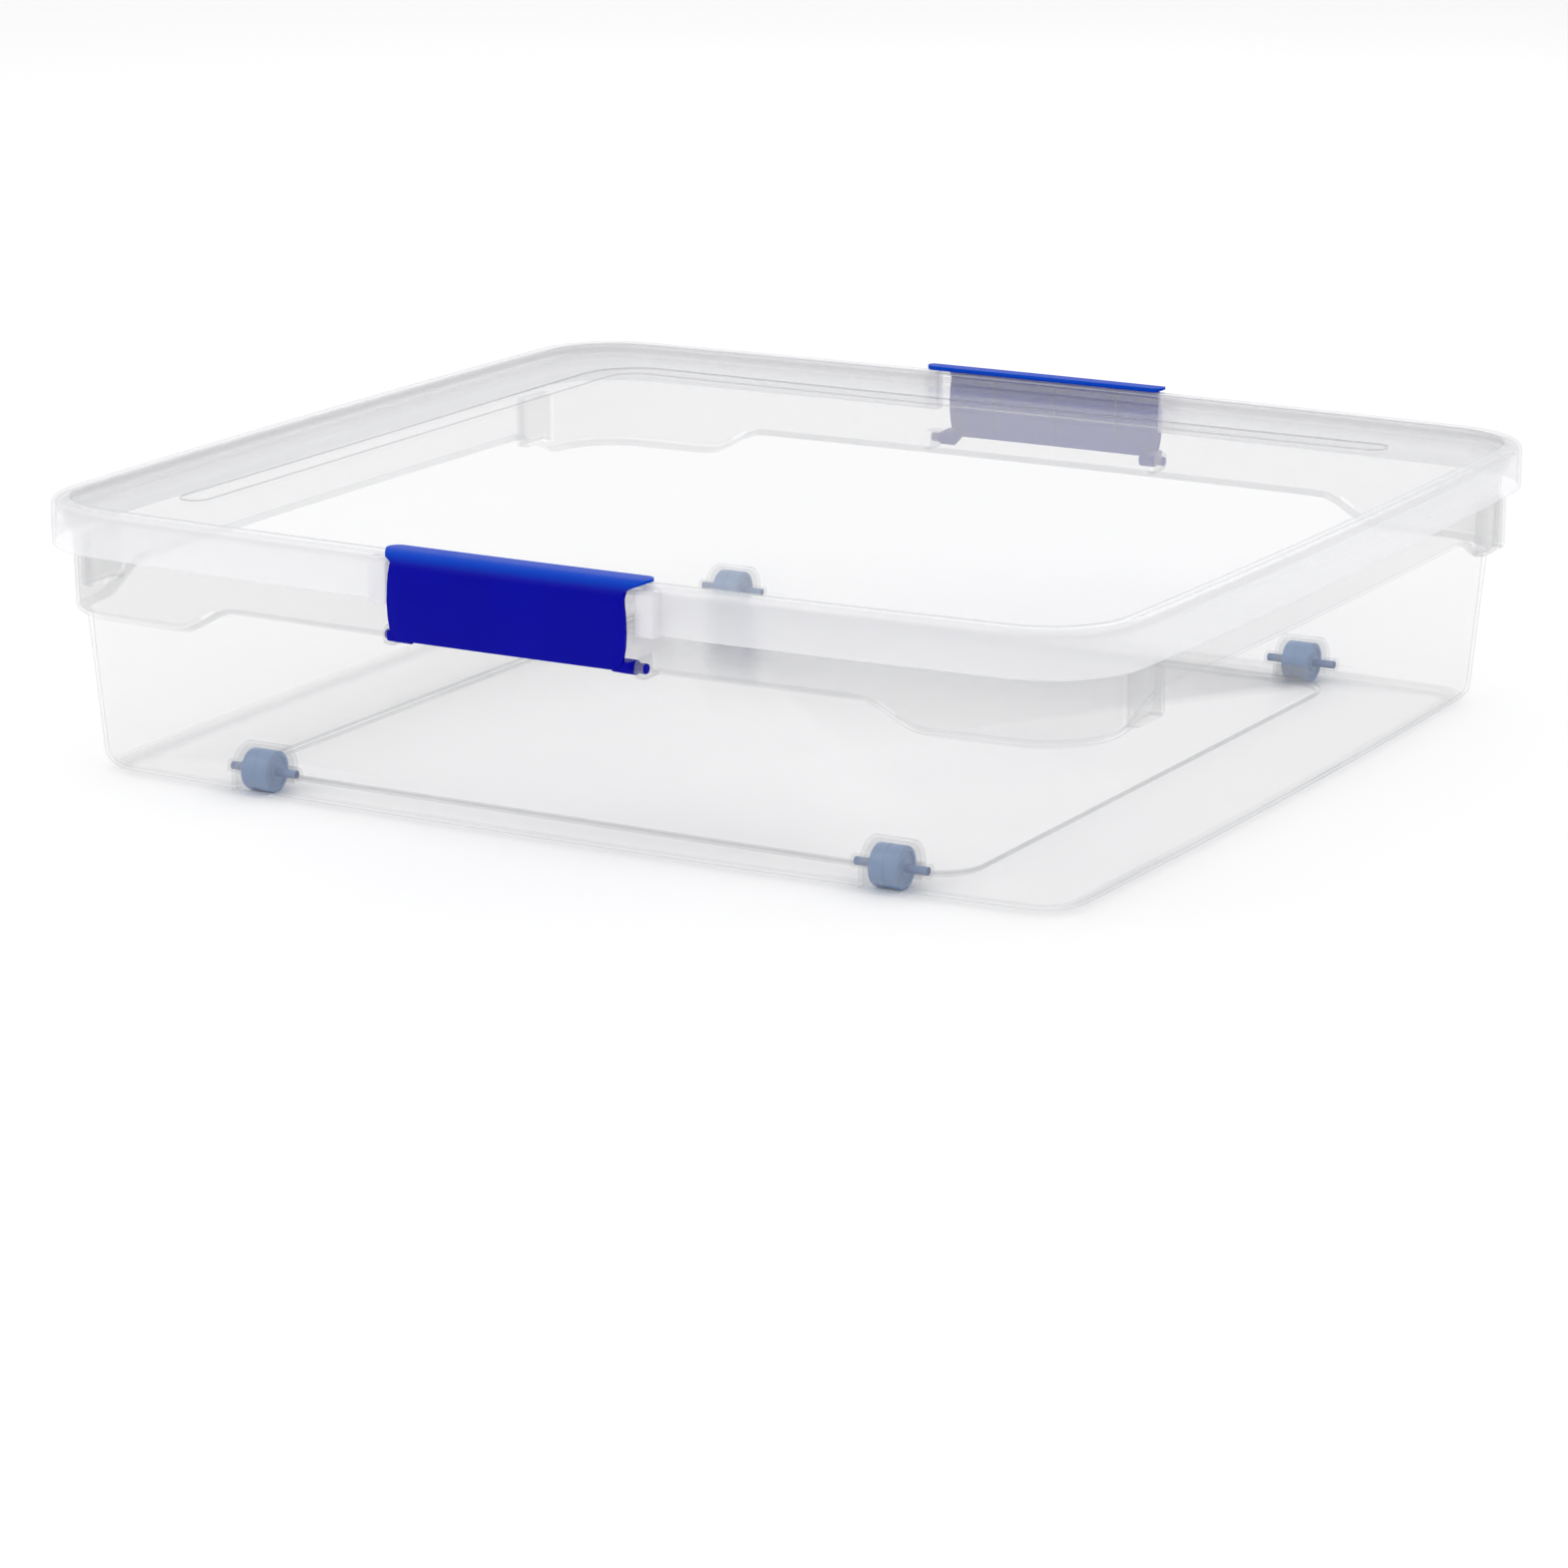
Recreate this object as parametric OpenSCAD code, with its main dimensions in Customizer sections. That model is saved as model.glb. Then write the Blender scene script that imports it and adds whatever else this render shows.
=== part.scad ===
// Under-bed storage box: a clear tub on four rollers, a clear lid and two snap latches.
// Frame: +X along the latch sides, +Y towards the rear latch, +Z up, z = 0 on the floor.

/* [Overall] */
// Length of the lid rim along the latch sides
rim_length = 724; // [480:2:1000]
// Width of the lid rim from latch side to latch side
rim_width = 660; // [440:2:900]
// Height from the floor to the top of the lid rim
total_height = 168; // [140:1:320]

/* [Outline] */
// Corner radius of the lid rim
corner_r = 60; // [60:1:80]
// Outward bow of the two latch sides
bow_long = 8; // [4:0.5:12]
// Outward bow of the two end sides
bow_short = 4; // [2:0.5:8]

/* [Tub] */
// Wall thickness of the tub
tub_wall = 2; // [1.6:0.1:2.6]
// Gap between the tub's underside and the floor
ground_gap = 2; // [1:0.5:5]
// Inset of the wall's foot from the lid rim
foot_inset = 27; // [26:0.5:34]
// Radius where the wall turns into the base
base_fillet = 12; // [8:0.5:16]
// Inset of the wall just under the shoulder
waist_inset = 18; // [17:0.5:20]
// Inset of the shoulder wall
shoulder_inset = 13; // [12:0.5:15]
// Drop from the rim top to the shoulder step
shoulder_drop = 54; // [50:1:70]
// Height of the raised floor panel
floor_step = 3; // [1:0.5:5]
// Inset of the raised floor panel from the end walls
floor_inset_x = 92; // [60:1:110]
// Gap between the raised floor panel and the roller arches
floor_gap_y = 3; // [2:1:30]

/* [Corner grips] */
// Length of each corner grip
grip_length = 34; // [20:1:50]
// Height of each corner grip
grip_height = 34; // [20:1:40]
// How far each corner grip stands out from the shoulder wall
grip_depth = 9; // [5:0.5:10]

/* [Lid] */
// Thickness of the lid
lid_wall = 2; // [1.5:0.1:2.5]
// Height of the lid's skirt below the rim top
skirt_drop = 28; // [24:1:34]
// Radius of the rim's outer edge
rim_fillet = 5; // [3:0.5:6]
// Width of the raised rim
rim_band = 13; // [12.5:0.5:16]
// Depth of the flat panel below the rim top
panel_drop = 6; // [4:0.5:9]
// Gap between the lid and the tub rim under it
lid_gap = 0.3; // [0.2:0.1:1]
// Width of the L-shaped groove in the panel
groove_w = 20; // [12:1:40]
// Depth of the L-shaped groove
groove_depth = 1.2; // [0.5:0.1:1.4]
// Distance from the rim band to the groove
groove_inset = 52; // [40:1:80]

/* [Latches] */
// Length of each latch
latch_length = 160; // [120:2:180]
// Thickness of the latch wall
latch_wall = 2.5; // [2:0.1:3]
// How far the latch face stands out from the lid rim
latch_stand = 12; // [10:0.5:14]
// How far the latch hook reaches in over the rim
hook_reach = 11; // [9:0.5:11.5]
// Gap between the hook and the rim under it
hook_gap = 0.5; // [0.3:0.1:1]
// Drop from the rim top to the latch pivot
pivot_drop = 47; // [45:0.5:48]
// Radius of the pivot studs
stud_r = 3; // [2.5:0.1:3.4]
// Thickness of the ears that hold the studs
ear_wall = 4; // [3:0.5:5]
// Radial running clearance of studs and rollers
run_gap = 0.08; // [0.04:0.01:0.1]

/* [Rollers] */
// Diameter of each roller
wheel_d = 25; // [20:1:28]
// Width of each roller
wheel_w = 18; // [14:1:24]
// Distance of each roller from the middle along the latch sides
wheel_x = 211; // [120:1:260]
// Gap between the roller arch and the foot of the latch-side wall
wheel_wall_gap = 10; // [8:1:30]
// Gap all round a roller inside its arch
wheel_gap = 2; // [1.5:0.1:3]
// Wall thickness of the roller arch
arch_wall = 2; // [1.5:0.1:3]
// Diameter of the axle pin
axle_d = 5; // [4:0.5:6]
// Length of pin held in the boss on each side
axle_grip = 10; // [6:1:14]
// Wall of the boss round the pin
boss_wall = 1.8; // [1.5:0.1:3]

/* [Hidden] */
$fn = 48;
SIDE_FN = 512;       // facets per turn on the long, gently bowed sides
RING_ANGLE = 22.5;   // more than any bowed side spans from its far centre
ROLLER_FN = 72;
FILLET_STEPS = 5;
OVERLAP = 1;         // bite of a rib or boss into the wall that carries it

// corner centres, and the far centres of the bowed sides
cx = rim_length / 2 - bow_short - corner_r;
cy = rim_width / 2 - bow_long - corner_r;
long_r = (cx * cx + bow_long * bow_long) / (2 * bow_long);
short_r = (cy * cy + bow_short * bow_short) / (2 * bow_short);
long_a = asin(cx / long_r);
short_a = asin(cy / short_r);

// heights
z_top = total_height;
z_lid_in = z_top - lid_wall;
z_tub_top = z_lid_in - lid_gap;
z_skirt = z_top - skirt_drop;
z_panel = z_top - panel_drop;
z_shoulder = z_top - shoulder_drop;
z_step = 3;          // height over which the shoulder steps out
z_base = ground_gap;
z_floor = z_base + tub_wall;
z_pivot = z_top - pivot_drop;

// radii, all measured from the corner centres
r_foot = corner_r - foot_inset;
r_waist = corner_r - waist_inset;
r_shoulder = corner_r - shoulder_inset;
r_neck = r_shoulder + 1;
r_lid_in = corner_r - lid_wall;
r_crest = corner_r - rim_fillet;
r_panel = corner_r - rim_band;
r_bead = r_lid_in - 1;
r_mouth = r_panel + lid_wall + 2;
draft = atan((r_waist - r_foot) / (z_shoulder - z_base - base_fillet));
r_floor = r_foot - base_fillet;

// latch, in the same radii: its plan follows the bowed side
r_face = corner_r + latch_stand;
r_hook = corner_r - hook_reach;
z_hook = z_top + hook_gap;
z_latch_top = z_hook + latch_wall;
latch_half = latch_length / 2;
LATCH_ANGLE = 2 * asin((latch_half + 5) / long_r);
side_y = cy + bow_long;          // distance of a long side's middle, before its radius
pivot_y = side_y + corner_r;
lug_w = 8;
lug_r = stud_r + 2.5;
latch_foot = z_pivot - 4;
ear_gap = 1;
ear_x = latch_half + ear_gap;
stud_end = ear_x + ear_wall + ear_gap;
ear_r = stud_r + 3.2;
slot_half = latch_half + 2;      // half length of the lid's notch for a latch
cheek_w = 12;
cheek_stand = latch_stand - 3;
notch_r = corner_r - 7;          // the notch cuts the skirt away outside this radius

// rollers
wheel_r = wheel_d / 2;
arch_in = wheel_r + wheel_gap;
arch_out = arch_in + arch_wall;
arch_half = wheel_w / 2 + wheel_gap + arch_wall;
wheel_y = side_y + r_foot - wheel_wall_gap - arch_out;
axle_half = arch_half + axle_grip;
boss_r = axle_d / 2 + boss_wall;
boss_end = 2;
WHEELS = [[-1, -1], [1, -1], [-1, 1], [1, 1]];

// ---- outlines --------------------------------------------------------------------

// Points of an arc about [r, z], from angle a to angle b.
function arc(r, z, rad, a, b, n = FILLET_STEPS) =
    [for (i = [0 : n]) let (t = a + (b - a) * i / n) [r + rad * cos(t), z + rad * sin(t)]];

// The bowed rounded rectangle at radius r from the corner centres.
module outline(r) {
    x_join = cx + r * sin(long_a);
    y_join = cy + r * sin(short_a);
    for (sx = [-1, 1], sy = [-1, 1])
        translate([sx * cx, sy * cy]) circle(r);
    intersection() {
        translate([0, long_r - side_y]) circle(long_r + r, $fn = SIDE_FN);
        translate([0, side_y - long_r]) circle(long_r + r, $fn = SIDE_FN);
        square([2 * x_join, 2 * (side_y + r + 1)], center = true);
    }
    intersection() {
        translate([short_r - cx - bow_short, 0]) circle(short_r + r, $fn = SIDE_FN);
        translate([cx + bow_short - short_r, 0]) circle(short_r + r, $fn = SIDE_FN);
        square([2 * (cx + bow_short + r + 1), 2 * y_join], center = true);
    }
}

// A move in two steps, whole millimetres and then the rest, so that far centres stay exact.
module shift(x, y) {
    translate([floor(x), floor(y), 0]) translate([x - floor(x), y - floor(y), 0]) children();
}

// A profile turned about the far centre of the front side, and of the right side.
module front_ring(span = RING_ANGLE) {
    shift(0, long_r - side_y)
        rotate_extrude(angle = span, start = 270 - span / 2, $fn = SIDE_FN)
            shift(long_r, 0) children();
}

module right_ring() {
    shift(cx + bow_short - short_r, 0)
        rotate_extrude(angle = RING_ANGLE, start = 360 - RING_ANGLE / 2, $fn = SIDE_FN)
            shift(short_r, 0) children();
}

// The sector from a far centre through the two corner centres of its side.
module front_wedge() {
    k = 1 + 200 / long_r;
    y0 = long_r - side_y;
    y1 = y0 - k * (long_r - bow_long);
    translate([0, 0, -50]) linear_extrude(z_top + 100)
        polygon([[0, y0], [-k * cx, y1], [k * cx, y1]]);
}

module right_wedge() {
    k = 1 + 200 / short_r;
    x0 = cx + bow_short - short_r;
    x1 = x0 + k * (short_r - bow_short);
    translate([0, 0, -50]) linear_extrude(z_top + 100)
        polygon([[x0, 0], [x1, -k * cy], [x1, k * cy]]);
}

module sweep_front() {
    intersection() {
        front_ring() children();
        front_wedge();
    }
}

module sweep_right() {
    intersection() {
        right_ring() children();
        right_wedge();
    }
}

// The corner at +X, +Y.
module sweep_corner() {
    difference() {
        translate([cx, cy])
            rotate_extrude(angle = 90 + RING_ANGLE, start = 360 - RING_ANGLE / 2) children();
        rotate(180) front_wedge();
        right_wedge();
    }
}

module each_corner() {
    for (mx = [0, 1], my = [0, 1])
        mirror([mx, 0]) mirror([0, my]) children();
}

// A profile in [radius, height] carried round the whole outline.
module sweep_round() {
    for (turn = [0, 180]) rotate(turn) {
        sweep_front() children();
        sweep_right() children();
    }
    each_corner() sweep_corner() children();
}

// ---- tub -------------------------------------------------------------------------

// Half of the tub's wall section: d is 0 for the outer skin and tub_wall for the inner one.
function tub_skin(d) = concat(
    arc(r_floor, z_base + base_fillet, base_fillet - d, -90, -draft),
    [
        [r_waist - d, z_shoulder],
        [r_shoulder - d, z_shoulder + z_step],
        [r_neck - d, z_skirt + 4],
        [r_mouth + tub_wall - d, z_skirt + 14],
        [r_mouth + tub_wall - d, z_tub_top]
    ]
);

function reversed(list) = [for (i = [len(list) - 1 : -1 : 0]) list[i]];

module tub_section() {
    polygon(concat(tub_skin(0), reversed(tub_skin(tub_wall))));
    // rolled rim bead, rounded to nest inside the lid's rim
    roll = r_bead - r_crest;
    lip_in = min(r_bead - tub_wall, r_crest);
    translate([r_mouth, z_tub_top - tub_wall]) square([r_crest - r_mouth, tub_wall]);
    polygon(concat(
        [[lip_in, z_tub_top - tub_wall - 3], [r_bead, z_tub_top - tub_wall - 3]],
        arc(r_crest, z_tub_top - roll, roll, 0, 90),
        [[lip_in - 0.5, z_tub_top], [lip_in - 0.5, z_tub_top - tub_wall], [lip_in, z_tub_top - tub_wall]]
    ));
}

module floor_panel(grow, z, h) {
    hx = cx + bow_short + r_foot - floor_inset_x + grow;
    hy = wheel_y - arch_out - floor_gap_y + grow;
    r = 30 + grow;
    translate([0, 0, z]) linear_extrude(h) {
        square([2 * (hx - r), 2 * hy], center = true);
        square([2 * hx, 2 * (hy - r)], center = true);
        for (sx = [-1, 1], sy = [-1, 1])
            translate([sx * (hx - r), sy * (hy - r)]) circle(r);
    }
}

// A round-topped block over a roller, with its foot at z0.
module arch_shape(r, half, z0) {
    translate([-half, 0, 0]) rotate([90, 0, 90]) linear_extrude(2 * half) {
        translate([0, wheel_r]) intersection() {
            circle(r);
            translate([-r - 1, 0]) square([2 * r + 2, r + 1]);
        }
        translate([-r, z0]) square([2 * r, wheel_r - z0]);
    }
}

// Place at each roller.
module at_wheel(w) {
    translate([w[0] * wheel_x, w[1] * wheel_y, 0]) children();
}

module arch_outer() {
    arch_shape(arch_out, arch_half, z_base);
    translate([0, 0, wheel_r]) rotate([0, 90, 0])
        cylinder(r = boss_r, h = 2 * (axle_half + boss_end), center = true);
}

module arch_inner() {
    arch_shape(arch_in, arch_half - arch_wall, z_base - 1);
    translate([0, 0, wheel_r]) rotate([0, 90, 0])
        cylinder(r = axle_d / 2, h = 2 * axle_half, center = true, $fn = ROLLER_FN);
}

module corner_grip() {
    depth = grip_depth + OVERLAP;
    translate([cx + r_shoulder - OVERLAP, cy - grip_length, z_skirt - 1 - grip_height]) difference() {
        cube([depth, grip_length, grip_height]);
        translate([-1, tub_wall, -1])
            cube([depth + 1 - tub_wall, grip_length - 2 * tub_wall, grip_height + 1 - tub_wall]);
    }
}

module ear() {
    y_in = side_y + r_shoulder - OVERLAP;
    translate([ear_x, 0, 0]) rotate([90, 0, 90]) linear_extrude(ear_wall) {
        translate([pivot_y, z_pivot]) circle(ear_r);
        translate([y_in, z_pivot - ear_r]) square([pivot_y - y_in, 2 * ear_r]);
    }
}

module tub() {
    color([0.86, 0.88, 0.9, 0.45]) difference() {
        union() {
            sweep_round() tub_section();
            translate([0, 0, z_base]) linear_extrude(tub_wall) outline(r_floor);
            floor_panel(0, z_base, tub_wall + floor_step);
            for (w = WHEELS) at_wheel(w) arch_outer();
            each_corner() corner_grip();
            each_corner() ear();
        }
        floor_panel(-tub_wall, z_base - 1, floor_step + 1);
        for (w = WHEELS) at_wheel(w) arch_inner();
        each_corner()
            translate([ear_x - 1, pivot_y, z_pivot]) rotate([0, 90, 0])
                cylinder(r = stud_r + run_gap, h = ear_wall + 2, $fn = ROLLER_FN);
    }
}

// ---- lid -------------------------------------------------------------------------

module lid_section() {
    polygon(concat(
        [[r_panel - OVERLAP, z_panel - lid_wall], [r_panel, z_panel - lid_wall]],
        [[r_panel + lid_wall, z_lid_in]],
        arc(r_crest, z_top - rim_fillet, rim_fillet - lid_wall, 90, 0),
        [[r_lid_in, z_skirt], [corner_r, z_skirt]],
        arc(r_crest, z_top - rim_fillet, rim_fillet, 0, 90),
        [[r_panel + lid_wall, z_top], [r_panel, z_panel + 1], [r_panel - OVERLAP, z_panel]]
    ));
}

// The L-shaped groove along the left and rear of the panel.
module groove_path(grow) {
    hx = cx + bow_short + r_panel - groove_inset;
    hy = cy + bow_long + r_panel - groove_inset;
    w = groove_w;
    r_out = 40;
    end = 22;
    difference() {
        union() {
            translate([-hx - grow, -hy + end + w / 2])
                square([w + 2 * grow, 2 * hy - end - w / 2 - r_out]);
            translate([-hx + r_out, hy - w - grow])
                square([2 * hx - r_out - end - w / 2, w + 2 * grow]);
            translate([-hx + r_out, hy - r_out]) difference() {
                circle(r_out + grow);
                circle(r_out - w - grow);
                translate([0, -2 * r_out]) square([2 * r_out, 4 * r_out]);
                translate([-2 * r_out, -4 * r_out]) square([4 * r_out, 4 * r_out]);
            }
            translate([-hx + w / 2, -hy + end + w / 2]) circle(w / 2 + grow);
            translate([hx - end - w / 2, hy - w / 2]) circle(w / 2 + grow);
        }
    }
}

// A hollow block on the skirt that flanks a latch.
module cheek() {
    y_in = side_y + corner_r - 0.9 * lid_wall;
    depth = side_y + corner_r + cheek_stand - y_in;
    translate([slot_half, y_in, z_skirt]) difference() {
        cube([cheek_w, depth, z_lid_in - z_skirt]);
        translate([lid_wall, -1, -1])
            cube([cheek_w - 2 * lid_wall, depth + 1 - lid_wall, z_lid_in - z_skirt + 1 - lid_wall]);
    }
}

module lid() {
    color([0.93, 0.94, 0.97, 0.5]) difference() {
        union() {
            difference() {
                union() {
                    sweep_round() lid_section();
                    translate([0, 0, z_panel - lid_wall])
                        linear_extrude(lid_wall) outline(r_panel - OVERLAP);
                }
                for (sy = [-1, 1])
                    translate([-slot_half, min(sy * (side_y + notch_r), sy * rim_width), z_skirt - 1])
                        cube([2 * slot_half, rim_width - side_y - notch_r, z_lid_in - z_skirt + 1]);
            }
            each_corner() cheek();
            translate([0, 0, z_panel - lid_wall - groove_depth])
                linear_extrude(lid_wall) groove_path(lid_wall / 2);
        }
        translate([0, 0, z_panel - groove_depth]) linear_extrude(lid_wall) groove_path(0);
    }
}

// ---- latches ---------------------------------------------------------------------

module latch_section() {
    polygon(concat(
        [[r_face - latch_wall, latch_foot], [r_face, latch_foot]],
        arc(r_face - 6, z_latch_top - 6, 6, 0, 90),
        [[r_hook, z_latch_top], [r_hook, z_hook]],
        arc(r_face - 6, z_latch_top - 6, 6 - latch_wall, 90, 0)
    ));
}

module latch() {
    intersection() {
        front_ring(LATCH_ANGLE) latch_section();
        translate([-latch_half, -rim_width, 0]) cube([latch_length, rim_width, 2 * z_top]);
    }
    for (side = [-1, 1]) {
        // lug from the face back to the pivot line, with its moulded stud
        translate([side * (latch_half - 1) - (side > 0 ? lug_w : 0), -pivot_y, 0])
            rotate([90, 0, 90]) linear_extrude(lug_w) {
                translate([0, z_pivot]) circle(lug_r);
                translate([-latch_stand + 1, z_pivot - 4]) square([latch_stand - 1, 8]);
            }
        translate([side * (latch_half - 2), -pivot_y, z_pivot]) rotate([0, side * 90, 0])
            cylinder(r = stud_r, h = stud_end - latch_half + 2, $fn = ROLLER_FN);
    }
}

// ---- rollers ---------------------------------------------------------------------

module wheel(w) {
    color([0.05, 0.2, 0.62]) at_wheel(w) translate([0, 0, wheel_r]) rotate([0, 90, 0])
        difference() {
            cylinder(d = wheel_d, h = wheel_w, center = true, $fn = ROLLER_FN);
            cylinder(r = axle_d / 2 + run_gap, h = wheel_w + 2, center = true, $fn = ROLLER_FN);
        }
}

module axle(w) {
    color([0.2, 0.3, 0.5]) at_wheel(w) translate([0, 0, wheel_r]) rotate([0, 90, 0])
        cylinder(d = axle_d, h = 2 * axle_half, center = true, $fn = ROLLER_FN);
}

tub();
lid();
color([0, 0.06, 0.68]) latch();  // latch_front
color([0, 0.06, 0.68]) rotate(180) latch();  // latch_rear
wheel(WHEELS[0]);  // wheel_front_left
wheel(WHEELS[1]);  // wheel_front_right
wheel(WHEELS[2]);  // wheel_rear_left
wheel(WHEELS[3]);  // wheel_rear_right
axle(WHEELS[0]);  // axle_front_left
axle(WHEELS[1]);  // axle_front_right
axle(WHEELS[2]);  // axle_rear_left
axle(WHEELS[3]);  // axle_rear_right
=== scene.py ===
"""A clear under-bed storage box with blue snap latches and small rollers, ready to render."""

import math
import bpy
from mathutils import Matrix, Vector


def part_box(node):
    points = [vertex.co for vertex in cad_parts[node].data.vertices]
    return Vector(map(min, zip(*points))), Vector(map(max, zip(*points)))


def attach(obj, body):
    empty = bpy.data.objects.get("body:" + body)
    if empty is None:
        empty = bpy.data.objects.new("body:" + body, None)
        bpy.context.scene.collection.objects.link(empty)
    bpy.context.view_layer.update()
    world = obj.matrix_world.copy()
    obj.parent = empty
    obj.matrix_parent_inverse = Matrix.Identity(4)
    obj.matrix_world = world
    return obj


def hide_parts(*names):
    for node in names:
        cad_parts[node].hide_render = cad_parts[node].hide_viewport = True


bl_info = {
    "name": "Under-Bed Storage Box",
    "version": (1, 0, 0),
    "blender": (4, 5, 0),
    "location": "3D View > Sidebar > Storage Box",
    "description": "Builds a clear storage box with a lid, two latches and four rollers",
    "category": "Add Mesh",
}

import bmesh
import bpy
import numpy as np
from mathutils import Vector

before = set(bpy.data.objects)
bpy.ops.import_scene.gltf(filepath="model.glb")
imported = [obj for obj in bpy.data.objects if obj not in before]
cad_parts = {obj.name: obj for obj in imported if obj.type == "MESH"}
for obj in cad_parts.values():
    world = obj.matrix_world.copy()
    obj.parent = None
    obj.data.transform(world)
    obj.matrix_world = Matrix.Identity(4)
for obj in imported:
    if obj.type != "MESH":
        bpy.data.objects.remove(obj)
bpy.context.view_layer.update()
WHEELS = ("front_left", "front_right", "rear_left", "rear_right")
CLEAR_LAYERS = 64
CORNER_STEPS = 14
LONG_STEPS = 60
SHORT_STEPS = 44
LID_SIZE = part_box("lid")[1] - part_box("lid")[0]
LATCH_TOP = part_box("latch_front")[1].z
WHEEL_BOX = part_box("wheel_front_right")
# Latch sizes in metres. The three OUT distances are measured from the middle of a long side's corner line.
PIVOT_OUT = 0.060
PIVOT_Z = 0.121
FACE_OUT = 0.072
HOOK_OUT = 0.049
# Half the length of the lid's cut-out for a latch, and the height of the tub's shoulder, in metres.
NOTCH_HALF = 0.082
SHOULDER_Z = 0.1135


# ---- properties ------------------------------------------------------------------


def length(name, text, default, low=0.0, high=2.0):
    """A length property, in metres."""
    return bpy.props.FloatProperty(
        name=name, description=text, default=default, min=low, max=high, unit="LENGTH", precision=4
    )


def colour(name, text, default):
    """A colour property."""
    return bpy.props.FloatVectorProperty(
        name=name, description=text, default=default, size=3, min=0.0, max=1.0, subtype="COLOR"
    )


def share(name, text, default):
    """A factor from 0 to 1."""
    return bpy.props.FloatProperty(
        name=name, description=text, default=default, min=0.0, max=1.0, subtype="FACTOR"
    )


class BoxShape(bpy.types.PropertyGroup):
    """Sizes of the box as moulded."""

    rim_length: length("Rim length", "Length of the lid's rim along the latch sides", LID_SIZE.x)
    rim_width: length("Rim width", "Width of the lid's rim between the latch sides", 0.660)
    height: length("Height", "Height of the rim above the floor", 0.168)
    corner: length("Corner radius", "Radius of the rim's corners", 0.060)
    bow_long: length("Long bow", "Outward bow of the latch sides", 0.008)
    bow_short: length("Short bow", "Outward bow of the end sides", 0.004)
    wall: length("Wall", "Wall thickness of tub and lid", 0.002)
    shoulder_dip: length("Shoulder dip", "How far the shoulder drops towards the corners", 0.016)
    panel_recess: length("Skirt recess", "Depth of the flat in the lid's end skirts", 0.0008)
    edge: length("Edge rounding", "Rounding of the moulded edges", 0.0006)


class BoxFinish(bpy.types.PropertyGroup):
    """Colours and clarity of the plastics, with their painted shade and highlight colours."""

    clear_face: colour("Clear face", "Colour of the clear plastic seen face on", (0.90, 0.90, 0.925))
    # Painted shade: the tub's plastic gets a darker grey than the lid's so that its walls look shaded.
    clear_tub_shaded: colour("Clear tub", "Colour of the tub's clear plastic seen face on, darkened with painted shade", (0.52, 0.52, 0.53))
    # Painted shade: the dark grey given to the clear plastic where it is seen edge on and along its step
    # lines.
    clear_edge_shade: colour("Clear edge shade", "Painted shade colour of the clear plastic at its grazing edges and step lines", (0.20, 0.21, 0.23))
    tub_haze: share("Tub haze", "How milky the tub is seen face on", 0.055)
    lid_haze: share("Lid haze", "How milky the lid is seen face on", 0.05)
    edge_haze: share("Edge haze", "How solid the clear plastic is at its edges", 0.62)
    frost: share("Frost", "Extra haze on the lid's rim and skirt", 0.30)
    # Strength of the painted grey shade lines that stand for the darkening along the clear plastic's moulded
    # steps.
    line: share("Painted step shade", "How strongly painted grey shade lines show along the moulded steps", 0.75)
    latch_blue: colour("Latch blue", "Colour of the latches", (0.0, 0.0004, 0.30))
    wheel_blue: colour("Roller blue", "Colour of the rollers", (0.13, 0.25, 0.47))
    # Painted highlight: a lighter blue blended in along the top of each latch's rolled lip.
    lip_highlight_blue: colour("Lip highlight blue", "Painted highlight colour along the latches' lips", (0.0, 0.055, 0.50))
    pin_blue: colour("Pin blue", "Colour of the axle pins", (0.16, 0.24, 0.42))


def shape():
    """The scene's box sizes."""
    return bpy.context.scene.storage_box_shape


def finish():
    """The scene's colours and clarity."""
    return bpy.context.scene.storage_box_finish


# ---- outline ---------------------------------------------------------------------


class Station:
    """A place on the outline: where the corner circle's centre is, and which way is out."""

    def __init__(self, base, out, side, along, turn):
        self.base, self.out, self.side, self.along, self.turn = base, out, side, along, turn


def side_stations(far, radius, heading, half_angle, steps, side):
    """Evenly spaced stations on a bowed side, about its far centre."""
    found = []
    for i in range(steps):
        t = -1 + 2 * i / steps
        angle = heading + half_angle * t
        out = Vector((math.cos(angle), math.sin(angle)))
        found.append(Station(far + out * radius, out, side, t, None))
    return found


def corner_stations(centre, first, last, quarter):
    """Stations round a corner, with the share of the turn made so far."""
    found = []
    for i in range(CORNER_STEPS):
        t = i / CORNER_STEPS
        angle = first + (last - first) * t
        out = Vector((math.cos(angle), math.sin(angle)))
        found.append(Station(Vector(centre), out, "corner", quarter, t))
    return found


def outline_sizes():
    """Half spacings of the corner centres, and the radii and half angles of the bowed sides."""
    s = shape()
    cx = s.rim_length / 2 - s.bow_short - s.corner
    cy = s.rim_width / 2 - s.bow_long - s.corner
    long_r = (cx * cx + s.bow_long**2) / (2 * s.bow_long)
    short_r = (cy * cy + s.bow_short**2) / (2 * s.bow_short)
    return cx, cy, long_r, short_r, math.asin(cx / long_r), math.asin(cy / short_r)


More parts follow.
